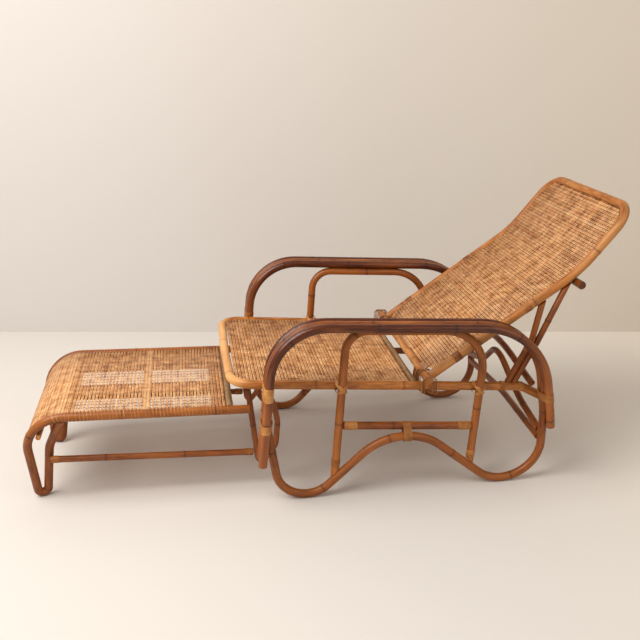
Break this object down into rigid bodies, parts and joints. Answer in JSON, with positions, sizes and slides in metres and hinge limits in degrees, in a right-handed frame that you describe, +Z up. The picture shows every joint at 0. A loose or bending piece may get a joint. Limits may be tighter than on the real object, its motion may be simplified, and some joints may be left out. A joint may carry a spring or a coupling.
{
  "type": "rattan chaise longue",
  "caption": "Rattan chaise longue with bent-cane arms, a woven seat, a hinged woven back on props and a woven footrest that slides under the seat.",
  "frame": {"origin": "centre of the overall box at floor level, with the back at rest on its props and the footrest pulled out", "axes": "+X from the footrest to the head end, +Y towards the right arm of a person seated, +Z up"},
  "size_m": [1.8232, 0.7664, 0.8614],
  "materials": {
    "dark_lacquered_rattan": "glossy lacquer, dark reddish brown",
    "brown_rattan": "satin lacquer, orange brown",
    "honey_rattan": "satin lacquer, honey tan",
    "woven_cane": "open woven cane, tan",
    "binding_cane": "split cane winding, tan",
    "dark_binding_cane": "split cane winding, brown"
  },
  "bodies": {
    "frame": {"arm_inner_cane_left": "dark_lacquered_rattan", "arm_inner_cane_right": "dark_lacquered_rattan", "arm_outer_cane_left": "dark_lacquered_rattan", "arm_outer_cane_right": "dark_lacquered_rattan", "base_loop_cane_left": "brown_rattan", "base_loop_cane_right": "brown_rattan", "front_leg_lower_wrap_left": "binding_cane", "front_leg_lower_wrap_right": "binding_cane", "front_leg_upper_wrap_left": "binding_cane", "front_leg_upper_wrap_right": "binding_cane", "hoop_cane_left": "brown_rattan", "hoop_cane_right": "brown_rattan", "pivot_cradle_left": "dark_binding_cane", "pivot_cradle_right": "dark_binding_cane", "rail_lash_front_left": "binding_cane", "rail_lash_front_right": "binding_cane", "rail_lash_rear_left": "binding_cane", "rail_lash_rear_right": "binding_cane", "rear_arch": "brown_rattan", "rear_leg_wrap_left": "binding_cane", "rear_leg_wrap_right": "binding_cane", "rear_lower_bar": "brown_rattan", "rear_upper_bar": "brown_rattan", "seat_frame": "honey_rattan", "seat_rear_rail": "honey_rattan", "seat_weave": "woven_cane", "stretcher_left": "brown_rattan", "stretcher_right": "brown_rattan", "stretcher_tie_left": "dark_binding_cane", "stretcher_tie_right": "dark_binding_cane"},
    "backrest": {"back_cross_rod_lower": "brown_rattan", "back_cross_rod_upper": "brown_rattan", "back_frame": "honey_rattan", "back_weave": "woven_cane", "pivot_bar": "honey_rattan", "prop_dowel": "dark_lacquered_rattan", "prop_front_cane_left": "brown_rattan", "prop_front_cane_right": "brown_rattan", "prop_rear_cane_left": "brown_rattan", "prop_rear_cane_right": "brown_rattan", "prop_wrap_left": "dark_binding_cane", "prop_wrap_right": "dark_binding_cane"},
    "footrest": {"footrest_front_rod": "honey_rattan", "footrest_hairpin_left": "brown_rattan", "footrest_hairpin_right": "brown_rattan", "footrest_rear_rail": "honey_rattan", "footrest_side_cane_left": "brown_rattan", "footrest_side_cane_right": "brown_rattan", "footrest_stretcher_left": "brown_rattan", "footrest_stretcher_right": "brown_rattan", "footrest_weave": "woven_cane"}
  },
  "joints": [
    {"name": "back_recline", "type": "hinge", "parent": "frame", "child": "backrest", "pos_m": [0.28716, 0, 0.35599], "axis": [0, -1, 0], "range_deg": [0, 40]},
    {"name": "footrest_slide", "type": "slide", "parent": "frame", "child": "footrest", "axis": [1, 0, 0], "range_m": [0, 0.45]}
  ]
}
